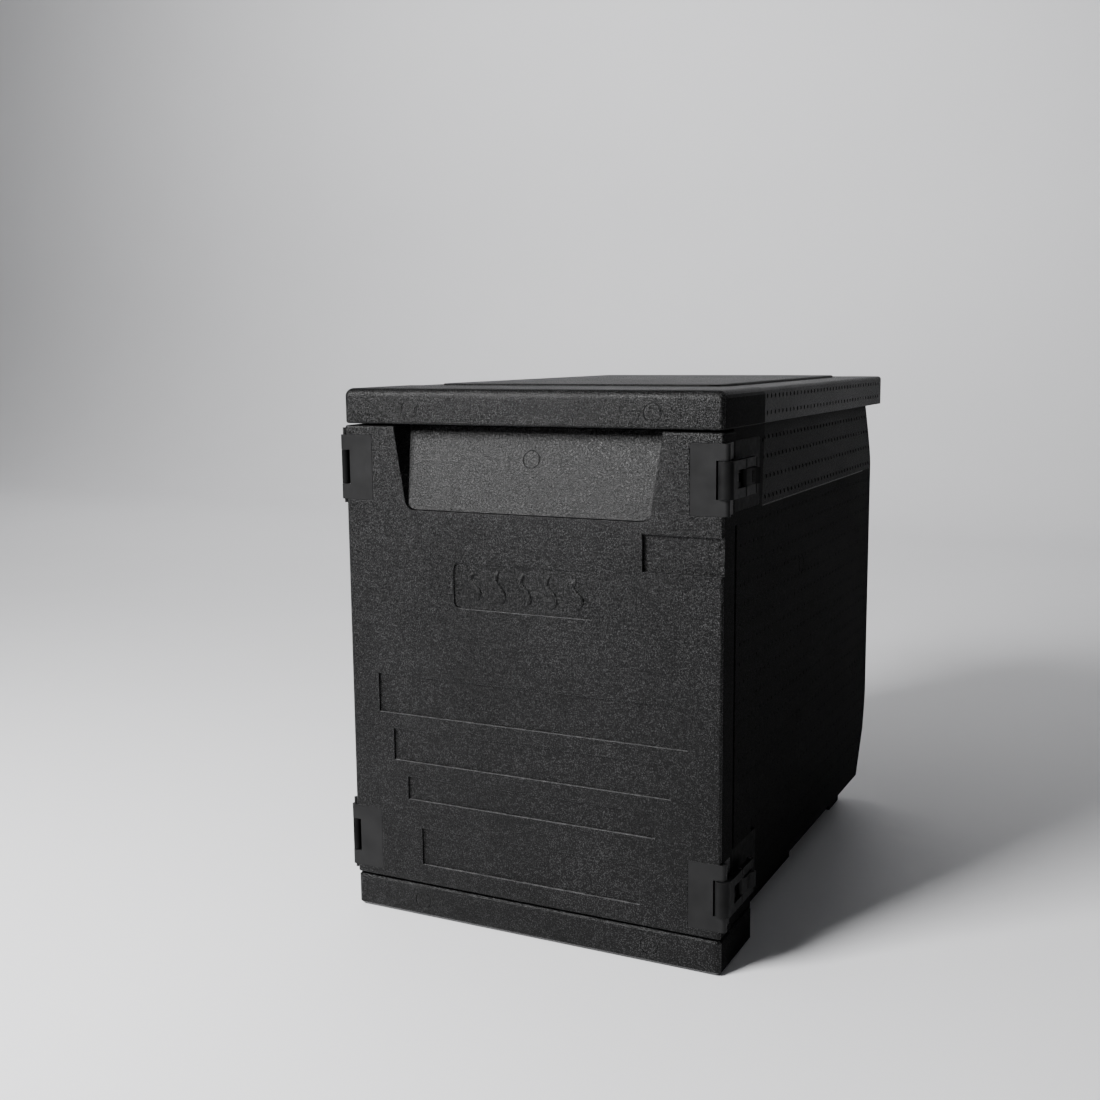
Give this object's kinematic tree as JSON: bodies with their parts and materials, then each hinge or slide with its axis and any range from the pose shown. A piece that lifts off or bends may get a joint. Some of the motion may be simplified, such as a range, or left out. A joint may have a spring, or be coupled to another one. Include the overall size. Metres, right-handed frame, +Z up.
{
  "type": "insulated food carrier",
  "caption": "Front-loading foam food carrier with a hinged door, draw latches, wedge grips, moulded tray rails and a stacking top.",
  "frame": {"origin": "on the floor, under the middle of the foam body's width and depth", "axes": "+Z up, +Y from the door to the rear wall, +X to the right of someone facing the door"},
  "size_m": [0.5353, 0.7744, 0.6895],
  "materials": {
    "foam": "matt moulded foam with a fine leathery grain",
    "nylon": "satin moulded plastic",
    "steel": "plain bright steel"
  },
  "bodies": {
    "carrier": {"top_slab": "foam", "base_block": "foam", "wall_left": "foam", "wall_right": "foam", "wall_rear": "foam", "tray_rails_left": "foam", "tray_rails_right": "foam", "hinge_bracket_upper": "nylon", "latch_bracket_upper": "nylon", "hook_pin_upper": "steel", "wall_anchor_hinge_upper": "nylon", "wall_anchor_latch_upper": "nylon", "hinge_bracket_lower": "nylon", "latch_bracket_lower": "nylon", "hook_pin_lower": "steel", "wall_anchor_hinge_lower": "nylon", "wall_anchor_latch_lower": "nylon", "wall_screws_hinge": "steel", "wall_screws_latch": "steel"},
    "door": {"door_panel": "foam", "hinge_plate_upper": "nylon", "keeper_plate_upper": "nylon", "hinge_pin_upper": "nylon", "door_anchor_hinge_upper": "nylon", "door_anchor_latch_upper": "nylon", "hinge_plate_lower": "nylon", "keeper_plate_lower": "nylon", "hinge_pin_lower": "nylon", "door_anchor_hinge_lower": "nylon", "door_anchor_latch_lower": "nylon", "door_screws_hinge": "steel", "door_screws_latch": "steel"},
    "hook_upper": {"latch_hook_upper": "nylon", "lever_pin_upper": "steel"},
    "lever_upper": {"latch_lever_upper": "nylon"},
    "hook_lower": {"latch_hook_lower": "nylon", "lever_pin_lower": "steel"},
    "lever_lower": {"latch_lever_lower": "nylon"}
  },
  "joints": [
    {"name": "door_swing", "type": "hinge", "parent": "carrier", "child": "door", "pos_m": [-0.258, -0.38, 0.342], "axis": [0, 0, -1], "range_deg": [0, 270]},
    {"name": "hook_upper_swing", "type": "hinge", "parent": "carrier", "child": "hook_upper", "pos_m": [0.262, -0.3, 0.587], "axis": [0, 0, 1], "range_deg": [0, 100]},
    {"name": "lever_upper_swing", "type": "hinge", "parent": "hook_upper", "child": "lever_upper", "pos_m": [0.262, -0.337, 0.587], "axis": [0, 0, -1], "range_deg": [0, 110]},
    {"name": "hook_lower_swing", "type": "hinge", "parent": "carrier", "child": "hook_lower", "pos_m": [0.262, -0.3, 0.097], "axis": [0, 0, 1], "range_deg": [0, 100]},
    {"name": "lever_lower_swing", "type": "hinge", "parent": "hook_lower", "child": "lever_lower", "pos_m": [0.262, -0.337, 0.097], "axis": [0, 0, -1], "range_deg": [0, 110]}
  ]
}
